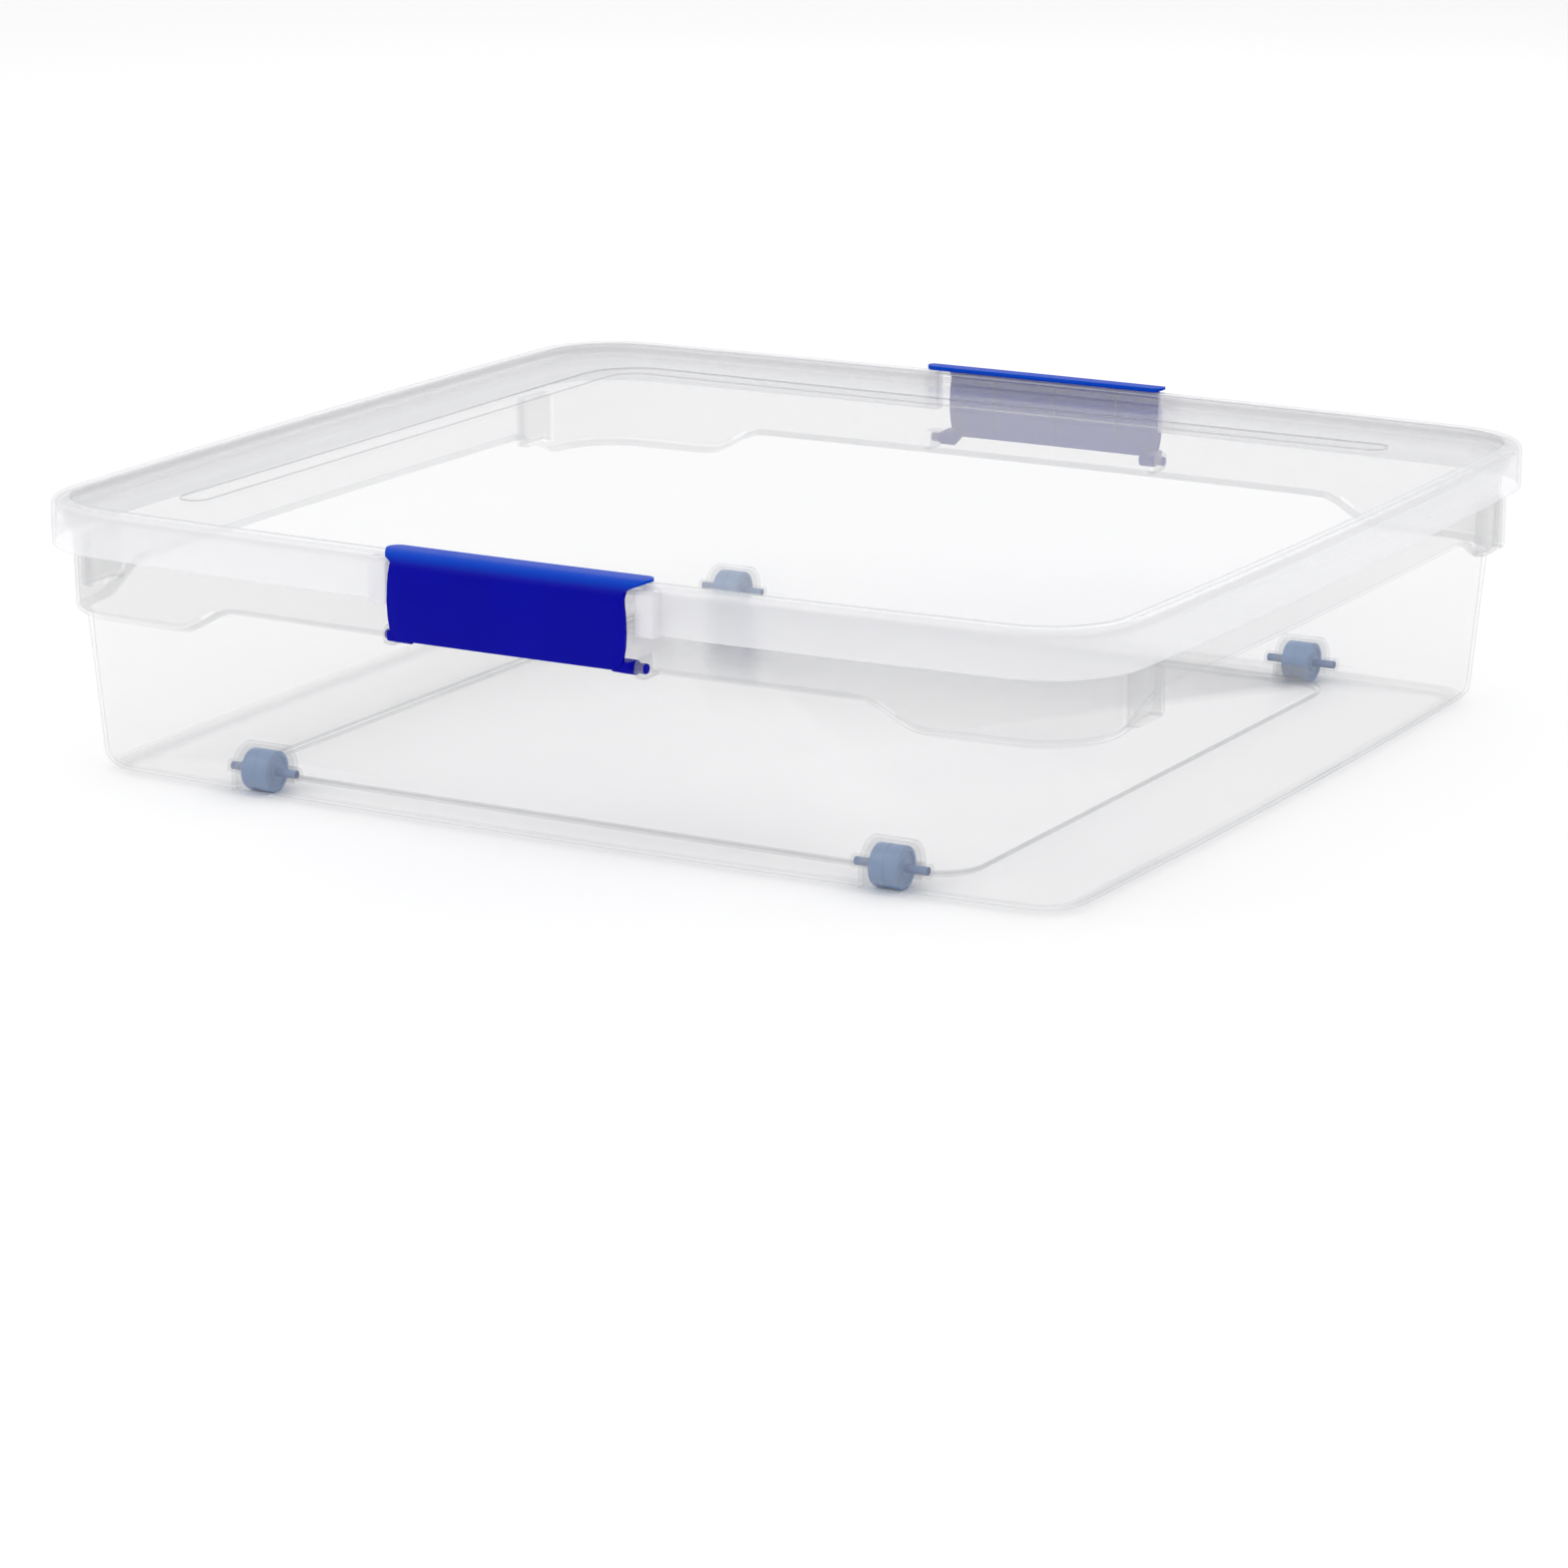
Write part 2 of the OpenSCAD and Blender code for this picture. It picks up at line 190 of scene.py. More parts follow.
def stations():
    """All stations, from the front's left end round to the left side."""
    s = shape()
    cx, cy, long_r, short_r, la, sa = outline_sizes()
    quarter = math.pi / 2
    long_far = Vector((0, long_r - cy - s.bow_long))
    short_far = Vector((cx + s.bow_short - short_r, 0))
    ring = side_stations(long_far, long_r, -quarter, la, LONG_STEPS, "front")
    ring += corner_stations((cx, -cy), -quarter + la, -sa, 0)
    ring += side_stations(short_far, short_r, 0, sa, SHORT_STEPS, "right")
    ring += corner_stations((cx, cy), sa, quarter - la, 1)
    ring += side_stations(-long_far, long_r, quarter, la, LONG_STEPS, "rear")
    ring += corner_stations((-cx, cy), quarter + la, 2 * quarter - sa, 2)
    ring += side_stations(-short_far, short_r, 2 * quarter, sa, SHORT_STEPS, "left")
    ring += corner_stations((-cx, -cy), 2 * quarter + sa, 3 * quarter - la, 3)
    return ring


def smooth(t):
    """A smooth step from 0 to 1."""
    t = max(0.0, min(1.0, t))
    return t * t * (3 - 2 * t)


def side_y(x):
    """Distance from the middle to a latch side at radius 0, at a place along it."""
    _, cy, long_r, _, _, _ = outline_sizes()
    return cy + shape().bow_long - long_r + math.sqrt(long_r**2 - x * x)


# ---- mesh helpers ----------------------------------------------------------------


def deselect():
    """Leaves edit mode and selects nothing."""
    if bpy.context.mode != "OBJECT":
        bpy.ops.object.mode_set(mode="OBJECT")
    bpy.ops.object.select_all(action="DESELECT")


def loft(name, count, rows, place, caps=(True, True)):
    """Extrudes a ring of edges row by row, placing each new ring with place(row, index)."""
    deselect()
    bpy.ops.mesh.primitive_circle_add(vertices=count, radius=0.1, fill_type="NOTHING")
    piece = bpy.context.object
    piece.name = piece.data.name = name
    bpy.ops.object.mode_set(mode="EDIT")
    bpy.ops.mesh.select_mode(type="EDGE")
    bpy.ops.mesh.select_all(action="SELECT")
    mesh = bmesh.from_edit_mesh(piece.data)
    turn = mesh.verts.layers.int.new("turn")
    for i, vert in enumerate(mesh.verts):
        vert[turn] = i
        vert.co = place(rows[0], i)
    bmesh.update_edit_mesh(piece.data)
    if caps[0]:
        bpy.ops.mesh.edge_face_add()
        bpy.ops.mesh.select_all(action="SELECT")
        bpy.ops.mesh.select_mode(type="EDGE")
    for number, row in enumerate(rows[1:]):
        if number == 0 and caps[0]:
            ring_only(piece)
        bpy.ops.mesh.extrude_edges_move()
        mesh = bmesh.from_edit_mesh(piece.data)
        turn = mesh.verts.layers.int["turn"]
        for vert in mesh.verts:
            if vert.select:
                vert.co = place(row, vert[turn])
        bmesh.update_edit_mesh(piece.data)
    if caps[1]:
        bpy.ops.mesh.edge_face_add()
    tidy_mesh(piece)
    return piece


def ring_only(piece):
    """Leaves the ring's edges selected and its face not, so that only edges extrude."""
    mesh = bmesh.from_edit_mesh(piece.data)
    for face in mesh.faces:
        face.select = False
    for edge in mesh.edges:
        edge.select = True
    bmesh.update_edit_mesh(piece.data)


def tidy_mesh(piece):
    """Merges doubles, turns faces outwards and leaves edit mode."""
    bpy.ops.mesh.select_all(action="SELECT")
    bpy.ops.mesh.remove_doubles(threshold=1e-6)
    bpy.ops.mesh.normals_make_consistent(inside=False)
    bpy.ops.object.mode_set(mode="OBJECT")


def prism(name, points, low, high, steps=1):
    """A closed outline of (y, z) points in metres, extruded along X from low to high."""

    def place(x, i):
        return Vector((x, points[i][0], points[i][1]))

    rows = [low + (high - low) * i / steps for i in range(steps + 1)]
    return loft(name, len(points), rows, place)


def plate(name, points, low, high):
    """A closed outline of (x, y) points in metres, extruded upwards from low to high."""
    return loft(name, len(points), [low, high], lambda z, i: Vector((points[i][0], points[i][1], z)))


def arc(y, z, radius, first, last, steps=8):
    """Points of an arc in metres, angles in degrees."""
    found = []
    for i in range(steps + 1):
        angle = math.radians(first + (last - first) * i / steps)
        found.append((y + radius * math.cos(angle), z + radius * math.sin(angle)))
    return found


def apply_modifier(piece, kind, **settings):
    """Adds a modifier with its settings and applies it."""
    deselect()
    piece.select_set(True)
    bpy.context.view_layer.objects.active = piece
    modifier = piece.modifiers.new(kind.title(), kind)
    for key, value in settings.items():
        setattr(modifier, key, value)
    bpy.ops.object.modifier_apply(modifier=modifier.name)


def cut(piece, tool, operation="DIFFERENCE"):
    """Cuts a piece with another, or adds it, and removes the tool."""
    apply_modifier(piece, "BOOLEAN", object=tool, operation=operation, solver="EXACT")
    bpy.data.objects.remove(tool)


def round_edges(piece, width, angle=35.0, segments=3):
    """Rounds the edges sharper than an angle."""
    apply_modifier(
        piece, "BEVEL", width=width, segments=segments, limit_method="ANGLE",
        angle_limit=math.radians(angle), use_clamp_overlap=True, harden_normals=False,
    )


def smooth_shade(piece, angle=35.0):
    """Shades a piece smooth, except across sharper edges."""
    deselect()
    piece.select_set(True)
    bpy.context.view_layer.objects.active = piece
    bpy.ops.object.shade_smooth_by_angle(angle=math.radians(angle))


def join(pieces, name):
    """Makes several pieces one, under the first."""
    deselect()
    for piece in pieces:
        piece.select_set(True)
    bpy.context.view_layer.objects.active = pieces[0]
    bpy.ops.object.join()
    pieces[0].name = pieces[0].data.name = name
    return pieces[0]


def copy_piece(piece, name):
    """A copy of a piece with its own mesh."""
    twin = piece.copy()
    twin.data = piece.data.copy()
    twin.name = twin.data.name = name
    bpy.context.scene.collection.objects.link(twin)
    return twin


def turned(piece, name):
    """A copy of a piece turned half a turn about Z, with the turn in its mesh."""
    twin = copy_piece(piece, name)
    for vert in twin.data.vertices:
        vert.co = Vector((-vert.co.x, -vert.co.y, vert.co.z))
    return twin


# ---- finishes --------------------------------------------------------------------


def socket(group, name, way, kind="NodeSocketFloat", default=None):
    """A new socket on a node group."""
    made = group.interface.new_socket(name=name, in_out=way, socket_type=kind)
    if default is not None:
        made.default_value = default
    return made


def moulded_surface():
    """A node group for moulded plastic: slow flow ripples, fine grain and handling scuffs."""
    name = "Moulded surface"
    if name in bpy.data.node_groups:
        return bpy.data.node_groups[name]
    group = bpy.data.node_groups.new(name, "ShaderNodeTree")
    socket(group, "Flow Scale", "INPUT", default=9.0)
    socket(group, "Grain Scale", "INPUT", default=900.0)
    socket(group, "Polish", "INPUT", default=0.12)
    socket(group, "Scuff", "INPUT", default=0.1)
    socket(group, "Roughness", "OUTPUT")
    socket(group, "Tone", "OUTPUT")
    socket(group, "Height", "OUTPUT")
    nodes, links = group.nodes, group.links
    start, end = nodes.new("NodeGroupInput"), nodes.new("NodeGroupOutput")
    coords = nodes.new("ShaderNodeTexCoord")
    flow = nodes.new("ShaderNodeTexNoise")
    flow.inputs["Detail"].default_value = 2.0
    flow.inputs["Distortion"].default_value = 0.6
    grain = nodes.new("ShaderNodeTexNoise")
    grain.inputs["Detail"].default_value = 3.0
    scuff = nodes.new("ShaderNodeTexNoise")
    scuff.inputs["Scale"].default_value = 38.0
    scuff.inputs["Detail"].default_value = 8.0
    scuff.inputs["Roughness"].default_value = 0.72
    for node in (flow, grain, scuff):
        links.new(coords.outputs["Object"], node.inputs["Vector"])
    links.new(start.outputs["Flow Scale"], flow.inputs["Scale"])
    links.new(start.outputs["Grain Scale"], grain.inputs["Scale"])
    marks = nodes.new("ShaderNodeMapRange")
    marks.inputs["From Min"].default_value = 0.5
    marks.inputs["From Max"].default_value = 0.75
    links.new(scuff.outputs["Fac"], marks.inputs["Value"])
    worn = nodes.new("ShaderNodeMath")
    worn.operation = "MULTIPLY"
    links.new(marks.outputs["Result"], worn.inputs[0])
    links.new(start.outputs["Scuff"], worn.inputs[1])
    rough = nodes.new("ShaderNodeMath")
    rough.operation = "ADD"
    links.new(worn.outputs[0], rough.inputs[0])
    links.new(start.outputs["Polish"], rough.inputs[1])
    height = nodes.new("ShaderNodeMath")
    height.operation = "MULTIPLY_ADD"
    height.inputs[1].default_value = 0.06
    links.new(grain.outputs["Fac"], height.inputs[0])
    links.new(flow.outputs["Fac"], height.inputs[2])
    links.new(rough.outputs[0], end.inputs["Roughness"])
    links.new(flow.outputs["Fac"], end.inputs["Tone"])
    links.new(height.outputs[0], end.inputs["Height"])
    return group


def new_material(name):
    """A material that starts with the moulded surface and its bump."""
    made = bpy.data.materials.new(name)
    made.use_nodes = True
    nodes, links = made.node_tree.nodes, made.node_tree.links
    shader = nodes["Principled BSDF"]
    surface = nodes.new("ShaderNodeGroup")
    surface.node_tree = moulded_surface()
    links.new(surface.outputs["Roughness"], shader.inputs["Roughness"])
    bump = nodes.new("ShaderNodeBump")
    links.new(surface.outputs["Height"], bump.inputs["Height"])
    links.new(bump.outputs["Normal"], shader.inputs["Normal"])
    return made, nodes, links, shader, surface, bump


def mixed_colour(nodes, links, factor, first, second):
    """A colour mix steered by a factor socket."""
    mix = nodes.new("ShaderNodeMix")
    mix.data_type = "RGBA"
    links.new(factor, mix.inputs[0])
    mix.inputs[6].default_value = (*first, 1.0)
    mix.inputs[7].default_value = (*second, 1.0)
    return mix.outputs[2]


def smooth_range(nodes, links, value, low, high):
    """A smooth step from 0 at low to 1 at high."""
    made = nodes.new("ShaderNodeMapRange")
    made.interpolation_type = "SMOOTHSTEP"
    made.inputs["From Min"].default_value = low
    made.inputs["From Max"].default_value = high
    links.new(value, made.inputs["Value"])
    return made.outputs["Result"]


def math_node(nodes, links, operation, *values):
    """A math node whose inputs are sockets or numbers."""
    node = nodes.new("ShaderNodeMath")
    node.operation = operation
    for place, value in zip(node.inputs, values):
        if isinstance(value, (int, float)):
            place.default_value = value
        else:
            links.new(value, place)
    return node.outputs[0]


def clear_plastic(name, face_colour, haze, frost):
    """Clear moulded plastic: clear face on, painted grey shade edge on and along moulded steps, milky where
    frosted.
    """
    made, nodes, links, shader, surface, bump = new_material(name)
    surface.inputs["Flow Scale"].default_value = 7.0
    surface.inputs["Polish"].default_value = 0.08
    surface.inputs["Scuff"].default_value = 0.12
    bump.inputs["Strength"].default_value = 0.10
    bump.inputs["Distance"].default_value = 0.002
    facing = nodes.new("ShaderNodeLayerWeight")
    facing.inputs["Blend"].default_value = 0.5
    # Painted shade: faces seen edge on, and the stored step lines, turn towards the dark edge grey.
    grazing = smooth_range(nodes, links, facing.outputs["Facing"], 0.72, 1.0)
    step = nodes.new("ShaderNodeAttribute")
    step.attribute_name = "painted_step_shade"
    edge = math_node(nodes, links, "MAXIMUM", grazing, step.outputs["Fac"])
    frosted = nodes.new("ShaderNodeAttribute")
    frosted.attribute_name = "frosted"
    milky = math_node(nodes, links, "MULTIPLY_ADD", frosted.outputs["Fac"], frost, haze)
    body = nodes.new("ShaderNodeMapRange")
    body.inputs["To Max"].default_value = finish().edge_haze
    links.new(edge, body.inputs["Value"])
    links.new(milky, body.inputs["To Min"])
    path = nodes.new("ShaderNodeLightPath")
    lit = math_node(nodes, links, "MULTIPLY_ADD", path.outputs["Is Shadow Ray"], -0.85, 1.0)
    alpha = math_node(nodes, links, "MULTIPLY", body.outputs["Result"], lit)
    links.new(alpha, shader.inputs["Alpha"])
    # The base colour mixes to the painted shade grey on grazing faces and step lines.
    tint = mixed_colour(nodes, links, edge, face_colour, finish().clear_edge_shade)
    links.new(tint, shader.inputs["Base Color"])
    shader.inputs["IOR"].default_value = 1.5
    shader.inputs["Specular IOR Level"].default_value = 0.8
    shader.inputs["Coat Roughness"].default_value = 0.05
    shader.inputs["Coat Weight"].default_value = 0.4
    return made


def mark_faces(piece, name, amount):
    """Stores on each face what amount(centre, normal, outline radius) gives, for the material to read."""
    ring = stations()
    out = np.array([station.out[:] for station in ring])
    reach = np.array([station.base.dot(station.out) for station in ring])
    faces = piece.data.polygons
    centres = np.array([face.center[:2] for face in faces])
    radii = (centres @ out.T - reach).max(axis=1)
    values = [amount(face.center, face.normal, radius) for face, radius in zip(faces, radii)]
    layer = piece.data.attributes.new(name, "FLOAT", "FACE")
    layer.data.foreach_set("value", values)


def solid_plastic(name, base, polish, scuff, gloss=0.35, top=None, highlight_from=0.0, highlight_to=1.0):
    """Solid coloured moulded plastic with a soft gloss, and, when a top colour is given, a painted highlight
    blended in towards the top of the piece.
    """
    made, nodes, links, shader, surface, bump = new_material(name)
    surface.inputs["Flow Scale"].default_value = 14.0
    surface.inputs["Polish"].default_value = polish
    surface.inputs["Scuff"].default_value = scuff
    bump.inputs["Strength"].default_value = 0.15
    bump.inputs["Distance"].default_value = 0.0008
    light = tuple(min(1.0, c * 1.2 + 0.001) for c in base)
    dark = tuple(c * 0.82 for c in base)
    tint = mixed_colour(nodes, links, surface.outputs["Tone"], dark, light)
    # Optional painted highlight: blends the top colour in towards the top of the piece, by height.
    if top:
        height = nodes.new("ShaderNodeSeparateXYZ")
        coords = nodes.new("ShaderNodeTexCoord")
        links.new(coords.outputs["Object"], height.inputs[0])
        highlight_band = smooth_range(nodes, links, height.outputs["Z"], highlight_from, highlight_to)
        mix = nodes.new("ShaderNodeMix")
        mix.data_type = "RGBA"
        mix.inputs[7].default_value = (*top, 1.0)
        links.new(highlight_band, mix.inputs[0])
        links.new(tint, mix.inputs[6])
        tint = mix.outputs[2]
    links.new(tint, shader.inputs["Base Color"])
    shader.inputs["Specular IOR Level"].default_value = gloss * 0.4
    shader.inputs["Coat Weight"].default_value = gloss * 0.3
    shader.inputs["Coat Roughness"].default_value = 0.15
    return made


def dress(piece, material):
    """Gives a piece one material."""
    piece.data.materials.clear()
    piece.data.materials.append(material)


def mount(piece, body, slot, *nodes):
    """Hangs a finished piece on its body, in place of its CAD nodes."""
    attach(piece, body)
    if nodes:
        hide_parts(*nodes)


# ---- tub -------------------------------------------------------------------------


def wall_radius(z):
    """The tub wall's outer radius between its foot and its shoulder, in metres."""
    t = (z - 0.014) / 0.100
    return 0.0330 + 0.0090 * t


def low_share(station):
    """How far the shoulder has dropped at a station: none in the middle, all at the corners."""
    cx, cy = outline_sizes()[:2]
    if station.side == "corner":
        return 1.0
    if station.side in ("front", "rear"):
        return smooth((abs(station.base.x) - 0.205) / 0.040)
    return smooth((abs(station.base.y) - (cy - 0.05)) / 0.045)


def pad_point(station, grow):
    """Where a station lands on the raised floor panel's outline."""
    hx, hy, radius = 0.243, 0.257, 0.030
    if station.side == "corner":
        first = -math.pi / 2 + station.along * math.pi / 2
        angle = first + station.turn * math.pi / 2
        sx = 1 if station.base.x > 0 else -1
        sy = 1 if station.base.y > 0 else -1
        return Vector((
            sx * (hx - radius) + (radius + grow) * math.cos(angle),
            sy * (hy - radius) + (radius + grow) * math.sin(angle),
        ))
    t = station.along
    if station.side == "front":
        return Vector((t * (hx - radius), -hy - grow))
    if station.side == "rear":
        return Vector((-t * (hx - radius), hy + grow))
    if station.side == "right":
        return Vector((hx + grow, t * (hy - radius)))
    return Vector((-hx - grow, -t * (hy - radius)))


def tub_rows():
    """The tub's rows from the pocket under its floor, up the outside, over the rim and down the inside."""
    s = shape()
    wall, top = s.wall, s.height - s.wall - 0.0003
    foot, fillet = 0.021, 0.012
    draft = 5.1
    rows = [("pad", -0.0026, 0.005), ("pad", -0.0022, 0.0048), ("pad", -0.0016, 0.002)]
    rows += [("ring", foot - 0.004, 0.002)]
    rows += [("ring", r, z) for r, z in arc(foot, 0.014, fillet, -90, -draft, 9)]
    rows += [("ring", wall_radius(z), z) for z in (0.040, 0.070)]
    shoulder = [(0.0, -0.0015), (0.0003, 0.0002), (0.0016, 0.0012), (0.0036, 0.0023), (0.0046, 0.0034)]
    rows += [("foot", r, z) for r, z in shoulder] + [("step", 0.0470, 0.0055)]
    rim = [
        (0.0475, 0.136), (0.0480, 0.144), (0.0486, 0.1475), (0.0500, 0.1505), (0.0518, 0.1530),
        (0.0527, 0.1552), (0.0530, 0.1580), (0.0530, top - 0.0028), (0.0534, top - 0.0021),
        (0.0548, top - 0.0021), (0.0552, top - 0.0026), (0.0552, top - 0.0046),
        (0.0556, top - 0.0050), (0.0566, top - 0.0050), (0.0570, top - 0.0046),
        (0.0570, top - 0.0008), (0.0567, top - 0.0002), (0.0562, top),
        (0.0518, top), (0.0513, top - 0.0002), (0.0510, top - 0.0007),
        (0.0510, 0.1580), (0.0507, 0.1556), (0.0499, 0.1538), (0.0482, 0.1515), (0.0467, 0.1486),
        (0.0460, 0.1440), (0.0455, 0.136),
    ]
    rows += [("ring", r, z) for r, z in rim]
    rows += [("step", 0.0470 - wall, 0.0065)]
    rows += [("foot", r - wall, z + 0.0008) for r, z in reversed(shoulder)]
    rows += [("ring", wall_radius(z) - wall, z) for z in (0.070, 0.040)]
    rows += [("ring", r, z) for r, z in arc(foot, 0.014, fillet - wall, -draft, -90, 9)]
    rows += [("ring", foot - 0.004, 0.004), ("pad", 0.0016, 0.004), ("pad", 0.0010, 0.0043)]
    rows += [("pad", 0.0004, 0.0066), ("pad", -0.0004, 0.0070)]
    return rows


def tub_place(ring):
    """Where each vertex of the tub's rows goes."""
    dip = shape().shoulder_dip

    def place(row, i):
        kind, r, z = row
        station = ring[i]
        if kind == "pad":
            p = pad_point(station, r)
            return Vector((p.x, p.y, z))
        if kind in ("foot", "step"):
            base = SHOULDER_Z - dip * low_share(station)
            if kind == "foot":
                r = wall_radius(base) + r * (0.0470 - wall_radius(base)) / 0.005
            z = base + z
        p = station.base + station.out * r
        return Vector((p.x, p.y, z))

    return place


def arch_points(radius, foot):
    """A round-topped section over a roller, in (y, z) about its axle."""
    centre = WHEEL_BOX[1].z / 2
    points = [(y, z) for y, z in arc(0, centre, radius, 0, 180, 24)]
    return [(radius, foot)] + points + [(-radius, foot)]


def roller_place(key):
    """The middle of a roller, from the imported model."""
    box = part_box("wheel_" + key)
    return (box[0] + box[1]) / 2


def shifted(points, dy):
    """Section points moved along Y."""
    return [(y + dy, z) for y, z in points]


def add_arches(tub):
    """Adds the four roller arches with their bosses, and opens them from below."""
    for key in WHEELS:
        at = roller_place(key)
        half = 0.013
        block = prism("arch", shifted(arch_points(0.0165, 0.002), at.y), at.x - half, at.x + half)
        boss = prism("boss", arc(at.y, at.z, 0.0043, 0, 345, 23), at.x - 0.0249, at.x + 0.0249)
        cut(block, boss, "UNION")
        round_edges(block, 0.0007, 50, 2)
        cut(tub, block, "UNION")
    for key in WHEELS:
        at = roller_place(key)
        half = 0.011
        hollow = prism("hollow", shifted(arch_points(0.0145, -0.001), at.y), at.x - half, at.x + half)
        bore = prism("bore", arc(at.y, at.z, 0.0025, 0, 345, 23), at.x - 0.023, at.x + 0.023)
        cut(hollow, bore, "UNION")
        cut(tub, hollow)


def grip_blocks(name, outward, across, heights, rounding, segments):
    """One rounded block below each corner, on the end walls. Each is made as it is asked for."""
    cx, cy = outline_sizes()[:2]
    for sx in (-1, 1):
        for sy in (-1, 1):
            x_ends = sorted(sx * (cx + out) for out in outward)
            y0, y1 = sorted(sy * (cy - back) for back in across)
            low, high = heights
            block = prism(name, [(y0, low), (y1, low), (y1, high), (y0, high)], *x_ends)
            round_edges(block, rounding, 50, segments)
            yield block


def add_grips(tub):
    """Adds the four hollow corner grips on the end walls."""
    for block in grip_blocks("grip", (0.0455, 0.0560), (0.034, 0.0), (0.105, 0.139), 0.003, 4):
        cut(tub, block, "UNION")
    for block in grip_blocks("grip_hollow", (0.0474, 0.0542), (0.032, 0.002), (0.100, 0.137), 0.0015, 3):
        cut(tub, block)


def add_ears(tub):
    """Adds the four ears that carry the latch studs."""
    pivot_y, pivot_z = side_y(0) + PIVOT_OUT, PIVOT_Z
    for sy in (-1, 1):
        for sx in (-1, 1):
            head = arc(sy * pivot_y, pivot_z, 0.0062, 90, 90 + sy * -180, 14)
            root = sy * (side_y(0.083) + 0.0465)
            wall = [(root, pivot_z - 0.0062), (root, pivot_z + 0.0062)]
            ends = sorted((sx * 0.081, sx * 0.085))
            ear = prism("ear", head + wall, *ends)
            round_hole = arc(sy * pivot_y, pivot_z, 0.00308, 0, 345, 23)
            hole = prism("stud_hole", round_hole, ends[0] - 0.001, ends[1] + 0.001)
            cut(ear, hole)
            cut(tub, ear, "UNION")


def on_arch(at, radius):
    """Whether a place on the tub is on one of the roller arches or their bosses."""
    middle = (WHEEL_BOX[0] + WHEEL_BOX[1]) / 2
    beside = abs(abs(at.x) - middle.x) < 0.030 and abs(abs(at.y) - abs(middle.y)) < 0.021
    return beside and radius < 0.029 and 0.0072 < at.z < 0.040


def tub_frost(at, normal, radius):
    """How milky a tub face is: fully above the shoulder, and a little on the arches."""
    return max(float(at.z > 0.114), 0.3 * on_arch(at, radius))


def tub_step_shade(at, normal, radius):
    """How much painted grey shade line a tub face shows: arches, shoulder ledge, raised floor and base."""
    if on_arch(at, radius):
        return finish().line * 0.08
    if 0.085 < at.z < 0.120 and abs(normal.z) > 0.35 and radius > 0.030:
        return finish().line * 0.45
    if at.z < 0.0075 and abs(normal.z) < 0.8 and radius < 0.0:
        return finish().line * 0.6
    # The base's bottom edge gets a painted shadow line.
    if at.z < 0.0045 and radius > 0.018:
        return finish().line * 0.3
    return 0.0


class BuildTub(bpy.types.Operator):
    """Moulds the clear tub: walls, shoulder, rolled rim, raised floor, arches, ears and grips"""

    bl_idname = "storage_box.tub"
    bl_label = "Build Tub"

    def execute(self, context):
        ring = stations()
        tub = loft("clear_tub_shaded", len(ring), tub_rows(), tub_place(ring))
        add_arches(tub)
        add_grips(tub)
        add_ears(tub)
        smooth_shade(tub, 32)
        mark_faces(tub, "frosted", tub_frost)
        # Stores the tub's painted grey shade lines for the material.
        mark_faces(tub, "painted_step_shade", tub_step_shade)
        look = finish()
        # The tub's plastic takes the darker grey, which is painted shade.
        plastic = clear_plastic("Clear tub plastic", look.clear_tub_shaded, look.tub_haze, look.frost * 0.4)
        dress(tub, plastic)
        mount(tub, "box", "tub_clear", "tub")
        return {"FINISHED"}


# ---- lid -------------------------------------------------------------------------


def lid_rows():
    """The lid's rows from the middle of its panel, over the rim, down the skirt and back inside."""
    top = shape().height
    rows = [("ring", 0.010, top - 0.006), ("ring", 0.0436, top - 0.006), ("ring", 0.0447, top - 0.0059)]
    rows += [("ring", 0.0455, top - 0.0054), ("ring", 0.0467, top - 0.0040), ("ring", 0.0478, top - 0.0018)]
    rows += [("ring", 0.0485, top - 0.0007), ("ring", 0.0495, top - 0.0001), ("ring", 0.0505, top)]
    rows += [("ring", r, z) for r, z in arc(0.055, top - 0.005, 0.005, 90, 0, 8)]
    rows += [("skirt", 0.060, top - 0.0070), ("panel", 0.060, top - 0.0085), ("panel", 0.060, top - 0.0245)]
    rows += [("skirt", 0.060, top - 0.0260), ("ring", 0.0600, top - 0.0274), ("ring", 0.0596, top - 0.0280)]
    rows += [("ring", 0.0584, top - 0.0280), ("ring", 0.0580, top - 0.0274)]
    rows += [("ring", r, z) for r, z in arc(0.055, top - 0.005, 0.003, 0, 90, 6)]
    rows += [("ring", 0.0512, top - 0.002), ("ring", 0.0501, top - 0.0023), ("ring", 0.0494, top - 0.0032)]
    rows += [("ring", 0.0481, top - 0.0068), ("ring", 0.0474, top - 0.0075), ("ring", 0.0462, top - 0.008)]
    rows += [("ring", 0.0445, top - 0.008), ("ring", 0.010, top - 0.008)]
    return rows


def lid_place(ring):
    """Where each vertex of the lid's rows goes."""
    recess = shape().panel_recess
    cy = outline_sizes()[1]

    def place(row, i):
        kind, r, z = row
        station = ring[i]
        if kind == "panel" and station.side in ("left", "right"):
            r -= recess * smooth((cy - 0.028 - abs(station.base.y)) / 0.012)
        p = station.base + station.out * r
        return Vector((p.x, p.y, z))

    return place


def groove_points():
    """The L-shaped groove's outline in plan, along the left and rear of the panel."""
    cx, cy = outline_sizes()[:2]
    hx = cx + shape().bow_short + 0.047 - 0.052
    hy = cy + shape().bow_long + 0.047 - 0.052
    width, outer, end = 0.020, 0.040, 0.022
    inner = outer - width
    r = width / 2
    points = arc(-hx + r, -hy + end + r, r, 180, 360, 12)
    points += arc(-hx + outer, hy - outer, inner, 180, 90, 6)
    points += arc(hx - end - r, hy - r, r, -90, 90, 12)
    points += arc(-hx + outer, hy - outer, outer, 90, 180, 12)
    return points


